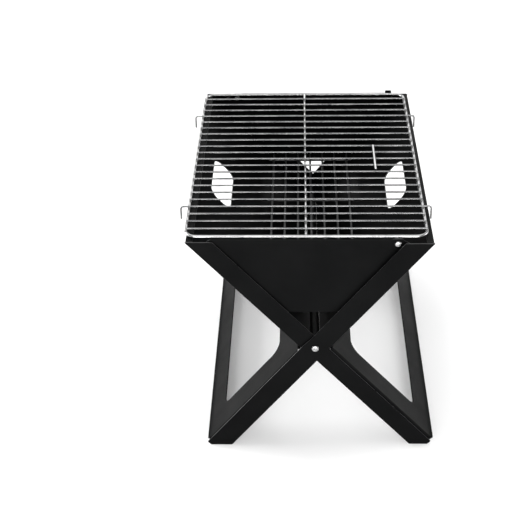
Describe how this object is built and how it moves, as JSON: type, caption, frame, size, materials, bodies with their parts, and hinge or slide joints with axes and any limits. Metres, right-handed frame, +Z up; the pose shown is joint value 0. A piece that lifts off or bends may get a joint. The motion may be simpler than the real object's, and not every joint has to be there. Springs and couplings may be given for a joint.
{
  "type": "folding camp grill",
  "caption": "Folding charcoal grill: crossed sheet-steel legs form a V-shaped fire trough, closed by end panels, with a coal grate and a wire cooking grid.",
  "frame": {"origin": "middle of the bounding box, on the floor plane under the feet", "axes": "+Z up, +X across the grill, to the right seen from its front end, +Y from the front end to the back end"},
  "size_m": [0.3298, 0.4532, 0.3225],
  "materials": {
    "black_powder_coat": "satin black heat-proof coating on sheet steel",
    "bright_wire": "bright plated steel wire",
    "dull_wire": "dull plated steel wire",
    "zinc_steel": "bright zinc-plated fasteners",
    "dark_steel": "dark steel tube"
  },
  "bodies": {
    "pivot": {"pivot_tube": "dark_steel", "pivot_screw_front": "zinc_steel", "pivot_screw_back": "zinc_steel", "pivot_washer_front": "zinc_steel", "pivot_washer_back": "zinc_steel"},
    "right_leg": {"right_wall_tray": "black_powder_coat", "left_foot_frame": "black_powder_coat"},
    "left_leg": {"left_wall_tray": "black_powder_coat", "right_foot_frame": "black_powder_coat"},
    "front_panel": {"front_end_panel": "black_powder_coat", "front_panel_screw": "zinc_steel", "front_panel_nut": "zinc_steel"},
    "back_panel": {"back_end_panel": "black_powder_coat", "back_panel_screw": "zinc_steel", "back_panel_nut": "zinc_steel"},
    "cooking_grid": {"grid_frame_wire": "bright_wire", "grid_centre_rib": "bright_wire", "grid_lifting_bar": "bright_wire", "grid_bar_01": "bright_wire", "grid_bar_02": "bright_wire", "grid_bar_03": "bright_wire", "grid_bar_04": "bright_wire", "grid_bar_05": "bright_wire", "grid_bar_06": "bright_wire", "grid_bar_07": "bright_wire", "grid_bar_08": "bright_wire", "grid_bar_09": "bright_wire", "grid_bar_10": "bright_wire", "grid_bar_11": "bright_wire", "grid_bar_12": "bright_wire", "grid_bar_13": "bright_wire", "grid_bar_14": "bright_wire", "grid_bar_15": "bright_wire", "grid_bar_16": "bright_wire", "grid_bar_17": "bright_wire", "grid_bar_18": "bright_wire", "grid_bar_19": "bright_wire", "grid_bar_20": "bright_wire", "grid_bar_21": "bright_wire"},
    "coal_grate": {"coal_grate_cross_1": "dull_wire", "coal_grate_cross_2": "dull_wire", "coal_grate_cross_3": "dull_wire", "coal_grate_cross_4": "dull_wire", "coal_grate_bar_1": "dull_wire", "coal_grate_bar_2": "dull_wire", "coal_grate_bar_3": "dull_wire", "coal_grate_bar_4": "dull_wire", "coal_grate_bar_5": "dull_wire", "coal_grate_bar_6": "dull_wire", "coal_grate_bar_7": "dull_wire"}
  },
  "joints": [
    {"name": "fold", "type": "hinge", "parent": "pivot", "child": "right_leg", "pos_m": [0.00621, 0, 0.1582], "axis": [0, -1, 0], "range_deg": [0, 38.5]},
    {"name": "left_leg_fold", "type": "hinge", "parent": "pivot", "child": "left_leg", "pos_m": [0.00621, 0, 0.1582], "axis": [0, 1, 0], "range_deg": [0, 41.8]},
    {"name": "cooking_grid_lift", "type": "slide", "parent": "pivot", "child": "cooking_grid", "axis": [0, 0, 1], "range_m": [0, 0.25]},
    {"name": "coal_grate_lift", "type": "slide", "parent": "pivot", "child": "coal_grate", "axis": [0, 0, 1], "range_m": [0, 0.25]},
    {"name": "front_panel_lift", "type": "slide", "parent": "pivot", "child": "front_panel", "axis": [0, 0, 1], "range_m": [0, 0.25]},
    {"name": "back_panel_lift", "type": "slide", "parent": "pivot", "child": "back_panel", "axis": [0, 0, 1], "range_m": [0, 0.25]}
  ],
  "couplings": [
    {"joint": "left_leg_fold", "follows": "fold", "ratio": 1.0857},
    {"joint": "cooking_grid_lift", "follows": "fold", "m_per_rad": 0.37205},
    {"joint": "coal_grate_lift", "follows": "fold", "m_per_rad": 0.37205},
    {"joint": "front_panel_lift", "follows": "fold", "m_per_rad": 0.37205},
    {"joint": "back_panel_lift", "follows": "fold", "m_per_rad": 0.37205}
  ]
}
